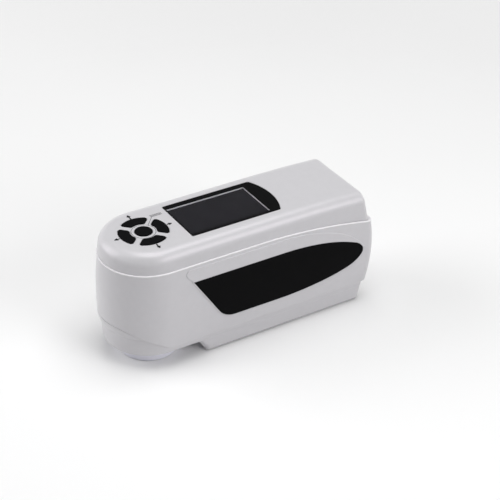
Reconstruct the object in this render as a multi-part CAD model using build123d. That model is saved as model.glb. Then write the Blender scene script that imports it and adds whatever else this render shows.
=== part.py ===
from build123d import *
import os
from math import atan2, cos, degrees, radians, sin, sqrt, tan

# Handheld colorimeter with a measuring port under its rounded nose.
# Millimetres, +Z up. The origin is on the rest plane under the middle of the case:
# -X is the rounded measuring end, +X the square rear end, -Y the side with the plain grip
# panel and +Y the side with the test key.

# ---------------------------------------------------------------- driving dimensions

# Case: a D-shaped plan with barrelled walls
case_length = 205.0
case_width = 70.8            # at the belly, without the grip pads
belly_z = 47.1               # height at which the walls are widest
side_bow = 330.0             # radius of the barrelled side and nose walls
rear_bow = 140.0             # radius of the barrelled rear wall
rear_corner = 6.5
case_wall = 2.5
fit_gap = 0.3                # between pieces that slide into each other
lay_gap = 0.1                # between pieces that only lie against each other

# Seam between the main shell and the top cover
top_seam_z = 79.5
seam_fall_run = 97.5         # the seam falls towards the rear along this last stretch
seam_fall_radius = 435.0
lip_round = 0.6
land_height = 3.0            # the shell's rim, on which the cover sits
land_inset = 2.0
tongue_height = 1.5
tongue_wall = 1.2
shadow_gap_height = 0.3
shadow_gap_depth = 0.4

# Seam between the main shell and the base cover
low_seam_z = 18.0
ramp_start = 1.5             # from here, ahead of the nose axis, the seam climbs round the nose
ramp_end = 5.0               # up to here, behind the front end
ramp_end_z = 34.2
ramp_blend = 12.0
shell_foot_round = 0.8

# Top cover
cover_top_z = 94.5
cover_step = 2.3             # the cover stands back from the belly
cover_bow = 300.0            # the side leans in along this radius
cover_bow_z = 77.5           # the side is upright below this height
crown_front = 8.5            # edge radius of the top at the nose
crown_rear = 8.1             # and behind the window
top_fall_gap = 2.0           # behind the window the top falls towards the rear
top_fall_radius = 1100.0
cover_rear_step = 7.0        # rear wall at the flat part of the seam, before the rear end
cover_rear_draft = 14.0
cover_rear_round = 4.0
cover_wall = 2.5

# Base cover: a shallow tray with the battery hump below it
base_floor_z = 12.3
base_step = 3.5              # the floor's edge stands back from the belly
base_draft = 3.5
cove_low_z = 26.4            # above the cove the base is flush with the shell
cove_high_z = 31.8
cove_sag = 0.25
base_top_z = 38.0            # the base form ends here, above the whole seam
base_rear_step = 5.7         # rear wall before the rear end
base_corner = 5.0
base_floor_round = 1.2
base_wall = 2.2
hump_bottom_z = 0.4
hump_front = 23.3            # behind the nose axis: the slanted front leaves the tray
hump_front_slant = 56.0
hump_step = 0.6              # the hump stands back from the tray
hump_draft = 3.0
hump_rear_draft = 8.0
hump_corner = 4.0
hump_edge_round = 3.0

# Grip pads with black leaf panels, in the side view
panel_front = 17.4           # behind the nose axis: sharp upper front corner
panel_top_z = 66.9
panel_bottom_z = 29.5
panel_front_slant = 56.5
panel_level_top = 78.5       # before the rear end: the top edge is straight up to here
panel_level_bottom = 82.5
panel_corner = 16.0
panel_thickness = 1.4
panel_sink = 0.1             # below the face of the grip pad
grip_proud = 0.5             # grip pad above the barrelled wall
grip_margin = 1.0
grip_top_z = 77.2
grip_nose_round = 3.4
grip_tip_round = 3.2
grip_edge_round = 0.35
# The curved edges pass here: before the rear end, and height
panel_upper = [(46.4, 64.3), (17.9, 56.1), (12.5, 52.0)]
panel_lower = [(39.2, 33.5), (23.7, 37.5), (16.8, 40.9), (12.6, 44.9)]
grip_upper = [(32.7, 68.2), (14.3, 55.9), (8.3, 49.0)]
grip_under_tip = (12.7, 43.9)

# Display: a window on a ledge, a gasket below it and the display block behind
display_front = 22.1         # behind the nose axis
display_length = 69.0
display_thickness = 3.2
display_side_margin = 0.4    # the display block stands inside the window's outline
window_front_margin = 1.8    # between the ends of the display block and of the window
window_rear_margin = 3.3     # up to where the side edges of the window end
window_bow = 5.8             # the rear edge bows out by this much
window_side_margin = 11.2    # between the window and the side of the cover
window_thickness = 1.1
window_sink = 0.1
window_round = 1.2
window_bevel = 0.2
gasket_thickness = 0.2
glass_front_margin = 3.6     # the display's glass inside the ends of its block
glass_rear_margin = 3.0
glass_side_margin = 3.4
glass_step = 0.4

# Keypad
keypad_reach = 1.8           # middle of the keypad ahead of the nose axis
key_proud = 0.65
key_travel = 0.6
key_edge_round = 0.35
centre_key_radius = 6.1
arc_key_inner = 9.5
arc_key_outer = 17.4
arc_key_gap = 4.6            # between neighbouring arc keys
arc_key_round = 1.9
key_flange = 0.9
key_flange_height = 0.8
mat_margin = 3.3             # rubber mat round the arc keys
mat_thickness = 0.8
dome_radius = 2.6
dome_taper = 0.7

# Boards
board_thickness = 1.6
board_front_margin = 1.0     # round the rubber mat
board_rear_margin = 13.0     # behind the display block
board_screw_front = 7.0      # screws before and behind the display block
board_screw_rear = 8.0
board_screw_inset = 3.0      # from the side edge of the board
post_radius = 2.6

# Self-tapping screws
screw_shank = 0.9            # small ones: radius
screw_head = 1.7
screw_head_height = 1.2
case_screw_shank = 1.4       # case screws: radius
case_screw_head = 2.6
case_screw_head_height = 2.0
cross_length = 1.2           # cross recess, as shares of the head
cross_width = 0.3

# Measuring head and calibration cap
port_radius = 4.0
head_bottom_z = 3.3
head_wall = 1.5
head_floor = 1.6
head_rim = 3.8               # width of the head's flange
head_flange_height = 1.6
head_edge_round = 0.75
head_screw_depth = 1.8       # thread in the tray's floor
cap_wall = 2.9
cap_edge_round = 1.5
cap_floor = 1.6
tile_radius = 14.0
tile_thickness = 1.4

# Integrating sphere, detector tube and light board
sphere_wall = 2.0
sphere_rim = 1.5             # width of the flange round the sphere
sphere_flange_height = 2.0
ear_radius = 3.0
ear_wall_gap = 1.3           # between the ears and the wall of the tray
detector_tilt = 8.0          # viewing angle of the detector
collar_radius = 15.0
collar_height = 13.0
collar_rise = 5.2            # above the top of the sphere, along the tilted axis
tube_outer = 7.0
tube_inner = 5.2
tube_length = 20.0
tube_seat = 3.0
tube_flange_radius = 10.0
tube_flange_height = 2.0
lens_thickness = 3.0
lens_place = 9.0             # lens above the foot of the tube
lens_stop = 4.2              # radius of the shoulder below the lens
led_count = 6
led_start = 30.0
led_radius = 1.5
led_ring_radius = 11.2
led_length = 3.0
sensor_half = 11.0
sensor_corner = 1.0
sensor_screw_inset = 1.6     # from the edge of the tube's flange
sensor_screw_shank = 0.45

# Battery and its door
cell_radius = 9.2
cell_length = 66.0
cell_button = 1.2
battery_back = 64.8          # middle of the battery behind the front of the hump
bay_wall = 1.5
bay_end_gap = 0.9
foam_thickness = 1.4
foam_margin = 1.6
foam_corner = 2.0
door_end = 3.5               # door beyond its screws
door_width = 48.0
door_thickness = 2.0
door_corner = 4.0
door_margin = 1.5
door_ledge_height = 1.6
groove_count = 5
groove_pitch = 3.0
groove_width = 1.5
groove_depth = 0.3

# Rear connector bay
bay_z = 47.0
io_bay_width = 46.0
io_bay_height = 22.0
io_bay_depth = 3.5
io_bay_corner = 3.0
rocker_y = -14.0
rocker_width = 8.0
rocker_half_height = 5.4
rocker_tilt = 7.0
rocker_sink = 0.2            # middle of its face behind the housing's face
rocker_pivot_depth = 4.2     # pivot behind the housing's face
switch_half_width = 5.2
switch_half_height = 7.2
switch_wall = 0.9
switch_flange = 1.2
switch_flange_height = 0.8
switch_depth = 9.0
pin_radius = 1.0
pin_clearance = 0.05
pin_reach = 0.9
blade_half_width = 1.0
blade_half_height = 0.5
jack_y = 4.0
jack_radius = 4.2
jack_bore = 3.1
jack_pin = 1.0
jack_floor = 1.2
jack_pin_sink = 1.2
usb_y = 15.0
usb_width = 7.7
usb_height = 4.0
usb_wall = 0.4
usb_tongue_half = 2.6
io_board_back = 18.5         # face of the socket board before the rear end
io_board_margin = 1.0        # inside the width of the bay
io_post_inset = 3.5          # from the side edge of the socket board
io_post_z = 10.0             # above and below the middle of the bay
ribbon_half = 6.0
ribbon_thickness = 0.3
ribbon_drop = 6.0

# Test key on the +Y grip panel
test_key_back = 49.1         # behind the nose axis
test_key_z = 49.0
test_key_length = 20.0
test_key_height = 9.0
test_key_travel = 0.6
test_flange = 1.6
test_flange_height = 0.9
test_post_pitch = 17.0
test_post_radius = 2.3
test_board_half_x = 5.5
test_board_end = 2.5         # board above and below its posts
switch_body = 3.0
switch_height = 1.2

# Rubber pads under the hump
pad_length = 12.0
pad_width = 6.0
pad_height = 1.0
pad_corner = 1.5
pad_bevel = 0.2
pad_door_gap = 3.5           # between the front pads and the door
pad_rear_margin = 10.8
pad_side_margin = 12.5       # inside the screws of the hump

# Screw posts and tabs inside the case
panel_clearance = 0.15
tab_drop = 2.6               # cover tabs below the top seam
tab_thickness = 3.0
tab_length = 7.0
tab_width = 9.0
cover_screw_front = 37.1     # behind the nose axis
cover_screw_rear = 24.5      # before the rear end
cover_screw_inset = 5.2      # inside the side of the cover
cover_screw_hold = 7.0
nose_screw_inset = 4.9       # inside the edge of the tray's floor
nose_screw_angle = 45.0
nose_head_z = 14.6
hump_screw_front = 17.8      # behind the front of the hump
hump_screw_rear = 12.8       # before its rear end
hump_screw_inset = 6.3
hump_head_z = 9.0            # seat of the screw heads above the rest plane
case_screw_hole = 10.0       # depth of the holes in the shell's bosses
case_screw_thread = 8.0      # thread in those holes
small_screw_length = 5.0
boss_radius = 3.6
boss_low_z = 20.0            # the shell's bosses meet the base cover's here
boss_high_z = 34.0
web_thickness = 1.6
ear_angles = (180.0, 60.0, -60.0)
head_screw_turn = 60.0       # the head's screws stand between the ears
arc_key_angles = {"rear_key": 0.0, "far_key": 90.0, "front_key": 180.0, "near_key": -90.0}
# Parts under the board: behind its display block's front end, y, width, length, height
board_parts = [
    (25.0, 0.0, 14.0, 14.0, 1.4),
    (53.0, 12.0, 8.0, 10.0, 1.2),
    (55.0, -12.0, 6.0, 18.0, 3.0),
    (7.0, 12.0, 5.0, 5.0, 1.0),
]

# ---------------------------------------------------------------- worked-out places

nose_radius = case_width / 2
front_x = -case_length / 2
nose_x = front_x + nose_radius
rear_x = case_length / 2
reach = case_length          # longer than anything that it cuts
seam_fall_x = rear_x - seam_fall_run
ramp_start_x = nose_x - ramp_start
ramp_end_x = front_x + ramp_end
cover_half = nose_radius - cover_step
cover_rear_x = rear_x - cover_rear_step
base_half = nose_radius - base_step
base_rear_x = rear_x - base_rear_step
hump_front_x = nose_x + hump_front
hump_half = base_half - hump_step
panel_front_x = nose_x + panel_front
panel_level_top_x = rear_x - panel_level_top
panel_level_bottom_x = rear_x - panel_level_bottom

ceiling_z = cover_top_z - cover_wall
board_top_z = ceiling_z - display_thickness
board_low_z = board_top_z - board_thickness
key_flange_top_z = ceiling_z - lay_gap
tray_floor_z = base_floor_z + base_wall
door_top_z = hump_bottom_z + door_thickness

keypad_x = nose_x - keypad_reach
mat_radius = arc_key_outer + mat_margin
dome_top_z = key_flange_top_z - key_flange_height - key_travel - fit_gap
display_front_x = nose_x + display_front
display_rear_x = display_front_x + display_length
window_half = cover_half - window_side_margin
window_front_x = display_front_x + window_front_margin
window_corner_x = display_rear_x + window_rear_margin
window_apex_x = window_corner_x + window_bow
window_seat_z = cover_top_z - window_sink - window_thickness - gasket_thickness
top_fall_x = window_apex_x + top_fall_gap
display_half = window_half - display_side_margin
glass_front_x = display_front_x + glass_front_margin
glass_rear_x = display_rear_x - glass_rear_margin
glass_half = display_half - glass_side_margin
cover_screw_y = cover_half - cover_screw_inset
board_half = cover_screw_y - boss_radius - fit_gap
board_rear_x = display_rear_x + board_rear_margin

ear_ring_radius = base_half - base_wall - ear_radius - ear_wall_gap
head_flange_radius = ear_ring_radius - post_radius - 2 * fit_gap
head_radius = head_flange_radius - head_rim
head_flange_top_z = tray_floor_z + head_flange_height
head_screw_ring = head_radius + head_rim / 2
cap_radius = head_radius + fit_gap + cap_wall
sphere_outer = head_radius - head_wall
sphere_inner = sphere_outer - sphere_wall
sphere_z = head_bottom_z + head_floor + sphere_outer
sphere_flange_radius = sphere_outer + sphere_rim
ear_low_z = sphere_z - sphere_flange_height
collar_top = sphere_z + sphere_outer + collar_rise - head_bottom_z     # along the tilted axis
tube_foot = collar_top - tube_seat
tube_top = tube_foot + tube_length

cell_low_z = door_top_z + foam_thickness
cell_z = cell_low_z + cell_radius
cell_y = cell_radius + lay_gap
bay_half_x = cell_length / 2 + bay_end_gap
bay_half_y = cell_y + cell_radius + fit_gap
bay_roof_z = cell_z + cell_radius + fit_gap + bay_wall
battery_x = hump_front_x + battery_back
door_screw_x = bay_half_x + post_radius
door_length = 2 * (door_screw_x + door_end)
door_ledge_z = door_top_z + door_ledge_height

bay_floor_x = rear_x - io_bay_depth
bay_back_x = bay_floor_x - case_wall
io_board_x = rear_x - io_board_back
io_board_face_x = io_board_x + board_thickness
io_board_half = io_bay_width / 2 - io_board_margin
io_post_y = io_board_half - io_post_inset
switch_face_x = bay_floor_x + switch_flange_height

lip_low_x = case_wall + fit_gap
hump_screw_y = hump_half - hump_screw_inset
nose_screw_reach = base_half - nose_screw_inset
test_key_x = nose_x + test_key_back


def side_face(*edges):
    """A face drawn in the side view, as (x, z)."""
    return Plane.XZ * make_face([*edges])


def across(face, half=reach):
    """The side-view face swept across the whole width."""
    return extrude(face, amount=half, both=True)


def block(low, high):
    """A box between two corners."""
    size = [high[i] - low[i] for i in range(3)]
    return Pos(*low) * Box(*size, align=(Align.MIN, Align.MIN, Align.MIN))


def rod(radius, low, high, x=0.0, y=0.0):
    """An upright cylinder between two heights."""
    return Pos(x, y, low) * Cylinder(radius, high - low, align=(Align.CENTER, Align.CENTER, Align.MIN))


def both_sides(shape):
    """The shape and its mirror image in the middle plane."""
    return shape + mirror(shape, about=Plane.XZ)


def save(name, shape):
    export_step(shape, f"parts/{name}.step")


# ---------------------------------------------------------------- case forms

def bowed(half, bow, z):
    """Half width of a barrelled wall at height z."""
    return half - bow + sqrt(bow**2 - (z - belly_z) ** 2)


def barrel_section(half, bow, low, high, full):
    """Section of the case between two heights, with one or both barrelled walls."""
    middle = (low + high) / 2
    top, mid, foot = [bowed(half, bow, z) for z in (high, middle, low)]
    wall = ThreePointArc((foot, low), (mid, middle), (top, high))
    if full:
        other = ThreePointArc((-top, high), (-mid, middle), (-foot, low))
        return Plane.YZ * make_face([
            Line((-foot, low), (foot, low)),
            wall,
            Line((top, high), (-top, high)),
            other,
        ])
    return Plane.YZ * make_face([
        Line((0, low), (foot, low)),
        wall,
        Line((top, high), (0, high)),
        Line((0, high), (0, low)),
    ])


def tub(inset):
    """The barrelled D-shaped body of the case, inset from its outer face."""
    low = hump_bottom_z
    high = cover_top_z
    half = nose_radius - inset
    bow = side_bow - inset
    nose = revolve(barrel_section(half, bow, low, high, False), axis=Axis.Z, revolution_arc=180)
    body = extrude(barrel_section(half, bow, low, high, True), amount=case_length)
    end = rear_x - inset
    end_bow = rear_bow - inset
    rear = side_face(
        Line((-reach, low), (bowed(end, end_bow, low), low)),
        ThreePointArc(*[(bowed(end, end_bow, z), z) for z in (low, (low + high) / 2, high)]),
        Line((bowed(end, end_bow, high), high), (-reach, high)),
        Line((-reach, high), (-reach, low)),
    )
    whole = Pos(nose_x, 0, 0) * (nose + body) & across(rear)
    corners = [edge for edge in whole.edges() if edge.center().X > nose_x + nose_radius
               and abs(edge.center().Y) > half / 2
               and abs(edge.start_point().Z - edge.end_point().Z) > (high - low) / 2]
    return fillet(corners, radius=rear_corner - inset)


def top_seam(x):
    """Height of the top seam at x."""
    if x < seam_fall_x:
        return top_seam_z
    return top_seam_z - seam_fall_radius + sqrt(seam_fall_radius**2 - (x - seam_fall_x) ** 2)


def above_top_seam(lift=0.0):
    """Everything above the top seam, or above a line lifted from it."""
    end_x = rear_x + rear_corner
    mid_x = (seam_fall_x + end_x) / 2
    sky = cover_top_z + reach
    return across(side_face(
        Line((-reach, top_seam_z + lift), (seam_fall_x, top_seam_z + lift)),
        ThreePointArc((seam_fall_x, top_seam_z + lift), (mid_x, top_seam(mid_x) + lift),
                      (end_x, top_seam(end_x) + lift)),
        Line((end_x, top_seam(end_x) + lift), (end_x, sky)),
        Line((end_x, sky), (-reach, sky)),
        Line((-reach, sky), (-reach, top_seam_z + lift)),
    ))


def below_low_seam(drop=0.0):
    """Everything below the low seam, or below a line dropped from it."""
    level = low_seam_z - drop
    top = ramp_end_z - drop
    ramp = Polyline((reach, level), (ramp_start_x, level), (ramp_end_x, top), (-reach, top))
    ramp = fillet(ramp.vertices().sort_by(Axis.X)[1:3], radius=ramp_blend)
    ground = Polyline((-reach, top), (-reach, -reach), (reach, -reach), (reach, level))
    return across(side_face(*ramp.edges(), *ground.edges()))


def rim_of(faces):
    """Edges round a group of faces, without the edges between them."""
    edges = [edge for face in faces for edge in face.edges()]
    return [edge for edge in edges if sum(edge.is_same(other) for other in edges) == 1]


def facing(shape, direction, least=0.7):
    """Faces of the shape that look along the direction."""
    return [face for face in shape.faces() if face.normal_at().dot(Vector(*direction)) > least]


def cover_section(inset, crown, full):
    """Section of the top cover: upright, then leaning in, then rounded into the top."""
    half = cover_half - inset
    bow = cover_bow - inset
    top = cover_top_z - inset
    mid = (cover_bow_z + top) / 2
    top_y, mid_y = [half - bow + sqrt(bow**2 - (z - cover_bow_z) ** 2) for z in (top, mid)]
    far = [
        Line((0, tray_floor_z), (half, tray_floor_z)),
        Line((half, tray_floor_z), (half, cover_bow_z)),
        ThreePointArc((half, cover_bow_z), (mid_y, mid), (top_y, top)),
        Line((top_y, top), (0, top)),
    ]
    if full:
        face = make_face(far + [mirror(edge, about=Plane.YZ) for edge in far])
        corners = face.vertices().filter_by(lambda v: abs(v.X) > half / 2 and v.Y > mid)
    else:
        face = make_face(far + [Line((0, top), (0, tray_floor_z))])
        corners = face.vertices().filter_by(lambda v: v.X > half / 2 and v.Y > mid)
    return Plane.YZ * fillet(corners, radius=crown - inset)


def cover_body(inset):
    """The solid form of the top cover, inset from its outer face."""
    nose = revolve(cover_section(inset, crown_front, False), axis=Axis.Z, revolution_arc=180)
    front = cover_section(inset, crown_front, True)
    middle = Pos(top_fall_x - nose_x, 0, 0) * cover_section(inset, crown_rear, True)
    body = loft([front.face(), middle.face()], ruled=True)
    lean = tan(radians(cover_rear_draft))
    foot_x = cover_rear_x - inset + (top_seam_z - tray_floor_z) * lean
    head_x = cover_rear_x - inset - (cover_top_z - top_seam_z) * lean
    fall_axis = Axis((top_fall_x - nose_x, 0, cover_top_z - top_fall_radius), (0, 1, 0))
    fall_turn = (foot_x + rear_corner - top_fall_x) / (top_fall_radius - cover_top_z)
    body += revolve(middle, axis=fall_axis, revolution_arc=degrees(fall_turn))
    rear = side_face(*Polyline((-reach, tray_floor_z), (foot_x, tray_floor_z), (head_x, cover_top_z),
                               (-reach, cover_top_z), (-reach, tray_floor_z)).edges())
    whole = Pos(nose_x, 0, 0) * (nose + body) & across(rear)
    end = facing(whole, (1, 0, 0), 0.9)[0]
    edges = [edge for edge in end.edges() if edge.center().Z > tray_floor_z + 1]
    return fillet(edges, radius=cover_rear_round - inset)


def base_section(inset, full):
    """Section of the base cover: floor, drafted wall, cove, then flush with the shell."""
    floor_y = base_half - inset
    cove_y = floor_y + (cove_low_z - base_floor_z) * tan(radians(base_draft))
    low = base_floor_z + inset
    high_y = bowed(nose_radius, side_bow, cove_high_z) - inset
    top_y = bowed(nose_radius, side_bow, base_top_z) - inset
    bend_y = (cove_y + high_y) / 2
    bend_z = (cove_low_z + cove_high_z) / 2
    far = [
        Line((0, low), (floor_y, low)),
        Line((floor_y, low), (cove_y, cove_low_z)),
        ThreePointArc((cove_y, cove_low_z), (bend_y + cove_sag, bend_z - cove_sag), (high_y, cove_high_z)),
        Line((high_y, cove_high_z), (top_y, base_top_z)),
        Line((top_y, base_top_z), (0, base_top_z)),
    ]
    if full:
        return Plane.YZ * make_face(far + [mirror(edge, about=Plane.YZ) for edge in far])
    return Plane.YZ * make_face(far + [Line((0, base_top_z), (0, low))])


def base_body(inset):
    """The solid form of the base cover without its hump, inset from its outer face."""
    nose = revolve(base_section(inset, False), axis=Axis.Z, revolution_arc=180)
    body = extrude(base_section(inset, True), amount=case_length)
    end_x = base_rear_x - inset
    lean = (base_top_z - base_floor_z) * tan(radians(base_draft))
    rear = Polyline((-reach, 0), (end_x, 0), (end_x, base_floor_z), (end_x + lean, base_top_z),
                    (-reach, base_top_z), (-reach, 0))
    whole = Pos(nose_x, 0, 0) * (nose + body) & across(side_face(*rear.edges()))
    corners = [edge for edge in whole.edges() if edge.center().X > 0
               and abs(edge.center().Y) > base_half / 2
               and abs(edge.start_point().X - edge.end_point().X) < case_wall
               and abs(edge.start_point().Z - edge.end_point().Z) > base_wall]
    body = fillet(corners, radius=base_corner - inset)
    return fillet(rim_of(facing(body, (0, 0, -1), 0.99)), radius=base_floor_round)


def hump_body(inset):
    """The solid form of the battery hump, inset from its outer face."""
    low = hump_bottom_z + inset
    rise = tray_floor_z - hump_bottom_z
    slope = 1 / tan(radians(hump_front_slant))
    front_top = hump_front_x - (tray_floor_z - base_floor_z) * slope + inset
    front_low = front_top + rise * slope
    rear_top = base_rear_x - inset
    rear_low = rear_top - rise * tan(radians(hump_rear_draft))
    side = Polyline((front_top, tray_floor_z), (front_low, low), (rear_low, low), (rear_top, tray_floor_z),
                    (front_top, tray_floor_z))
    half = hump_half - inset
    foot = half - rise * tan(radians(hump_draft))
    ends = Polyline((-half, tray_floor_z), (-foot, low), (foot, low), (half, tray_floor_z),
                    (-half, tray_floor_z))
    prism = extrude(Plane.YZ * make_face(ends.edges()), amount=reach, both=True)
    body = across(side_face(*side.edges())) & prism
    body = fillet(body.edges().filter_by(lambda e: abs(e.center().Z - (low + tray_floor_z) / 2) < 1),
                  radius=hump_corner - inset)
    return fillet(rim_of(facing(body, (0, 0, -1), 0.99)), radius=hump_edge_round - inset)


# ---------------------------------------------------------------- grip pads and panels

def smooth_run(start, places):
    """Arcs from a level start through places measured from the rear end, each one tangent to the last."""
    arcs = []
    direction = (1, 0)
    for back, height in places:
        point = (rear_x - back, height)
        arc = TangentArc(start, point, tangent=direction)
        arcs.append(arc)
        start = point
        direction = arc % 1
    return arcs


def panel_face(margin=0.0):
    """Outline of the leaf panel in the side view, grown by a margin."""
    slant = 1 / tan(radians(panel_front_slant))
    foot_x = panel_front_x + (panel_top_z - panel_bottom_z) * slant
    top_start = (panel_level_top_x, panel_top_z)
    low_start = (panel_level_bottom_x, panel_bottom_z)
    face = make_face([
        Line((panel_front_x, panel_top_z), top_start),
        *smooth_run(top_start, panel_upper + panel_lower[-1:]),
        *smooth_run(low_start, panel_lower),
        Line(low_start, (foot_x, panel_bottom_z)),
        Line((foot_x, panel_bottom_z), (panel_front_x, panel_top_z)),
    ])
    corner = face.vertices().sort_by(Axis.Y)[:2].sort_by(Axis.X)[0]
    face = fillet(corner, radius=panel_corner)
    if margin:
        face = offset(face, amount=margin)
    return Plane.XZ * face


def grip_prism():
    """The grip pads in the side view, swept across: the leaf with a margin, and a field above it."""
    start = (panel_front_x + grip_margin, panel_top_z - grip_margin)
    peak = (start[0] - (grip_top_z - start[1]), grip_top_z)
    level_end = (panel_level_top_x, grip_top_z)
    upper = smooth_run(level_end, grip_upper)
    under_tip = (rear_x - grip_under_tip[0], grip_under_tip[1])
    field = make_face([
        Line(start, peak),
        Line(peak, level_end),
        *upper,
        Line(upper[-1] @ 1, under_tip),
        Line(under_tip, start),
    ])
    field = fillet(field.vertices().sort_by(Axis.X)[0], radius=grip_nose_round)
    field = fillet(field.vertices().sort_by(Axis.X)[-1], radius=grip_tip_round)
    return across(panel_face(grip_margin)) + across(Plane.XZ * field)


def near_half(shape):
    """The part of a shape on the -Y side of the case."""
    return shape & block((-reach, -reach, -reach), (reach, -base_half / 2, reach))


def oval(length, height, depth, y):
    """A prism with a stadium outline in the side view, from y towards -Y."""
    face = SlotOverall(length, height)
    return Pos(test_key_x, y, test_key_z) * extrude(Plane.XZ * face, amount=depth)


def screw(shank, head, head_height, length):
    """A self-tapping screw that points up: the underside of its head is at the origin."""
    body = rod(shank, 0, length) + rod(head, -head_height, 0)
    body = fillet(body.edges().filter_by(GeomType.CIRCLE).group_by(Axis.Z)[0], radius=head_height / 3)
    slot = Box(head * cross_length, head * cross_width, head_height)
    cross = Pos(0, 0, -head_height) * (slot + Rot(0, 0, 90) * slot)
    tip = body.edges().filter_by(GeomType.CIRCLE).group_by(Axis.Z)[-1]
    return chamfer(tip, length=shank / 2) - cross


def small_screw(length):
    return screw(screw_shank, screw_head, screw_head_height, length)


def case_screw(length):
    return screw(case_screw_shank, case_screw_head, case_screw_head_height, length)


def placed(shape, places):
    """Copies of a shape at several places, kept as separate solids."""
    return Compound(children=[Pos(*place) * shape for place in places])


# ---------------------------------------------------------------- screw places

def on_ring(radius, angle):
    """A place on a circle round the nose axis."""
    return nose_x + radius * cos(radians(angle)), radius * sin(radians(angle))


cover_screw_places = [(x, y, top_seam(x) - tab_drop - tab_thickness)
                      for x in (nose_x + cover_screw_front, rear_x - cover_screw_rear)
                      for y in (-cover_screw_y, cover_screw_y)]
board_screw_places = [(x, y, board_low_z)
                      for x in (display_front_x - board_screw_front, display_rear_x + board_screw_rear)
                      for y in (board_screw_inset - board_half, board_half - board_screw_inset)]
nose_screw_places = [on_ring(nose_screw_reach, 180 + turn) for turn in (nose_screw_angle, -nose_screw_angle)]
hump_screw_places = [(x, y) for x in (hump_front_x + hump_screw_front, base_rear_x - hump_screw_rear)
                     for y in (-hump_screw_y, hump_screw_y)]
ear_places = [on_ring(ear_ring_radius, angle) for angle in ear_angles]
head_screw_places = [on_ring(head_screw_ring, angle + head_screw_turn) for angle in ear_angles]
io_post_places = [(y, bay_z + z) for y in (-io_post_y, io_post_y) for z in (-io_post_z, io_post_z)]
test_post_places = [test_key_z - test_post_pitch / 2, test_key_z + test_post_pitch / 2]
test_flange_low_y = bowed(nose_radius, side_bow, test_key_z) - case_wall - lay_gap - test_flange_height
test_post_y = test_flange_low_y - test_key_travel - 2 * fit_gap - switch_height
sensor_screw_x = tube_flange_radius - sensor_screw_inset
sensor_screw_places = [(-sensor_screw_x, 0), (sensor_screw_x, 0)]
door_screw_places = [(battery_x - door_screw_x, 0), (battery_x + door_screw_x, 0)]
front_pad_x = battery_x - door_length / 2 - pad_door_gap - pad_width / 2
pad_y = hump_screw_y - pad_side_margin
rest_pad_places = [(x, y) for x in (front_pad_x, base_rear_x - pad_rear_margin) for y in (-pad_y, pad_y)]


# ---------------------------------------------------------------- case pieces

def lying(radius, low, high, y, z):
    """A cylinder along X between two places."""
    return Pos(low, y, z) * Rot(0, 90, 0) * rod(radius, 0, high - low)


def sideways(radius, low, high, x, z):
    """A cylinder along Y between two places."""
    return Pos(x, high, z) * Rot(90, 0, 0) * rod(radius, 0, high - low)


def rear_block(width, height, low, high, corner):
    """A prism along X with rounded corners, centred on the socket bay."""
    face = Plane.YZ * RectangleRounded(width, height, corner)
    return Pos(low, 0, bay_z) * extrude(face, amount=high - low)


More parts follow.
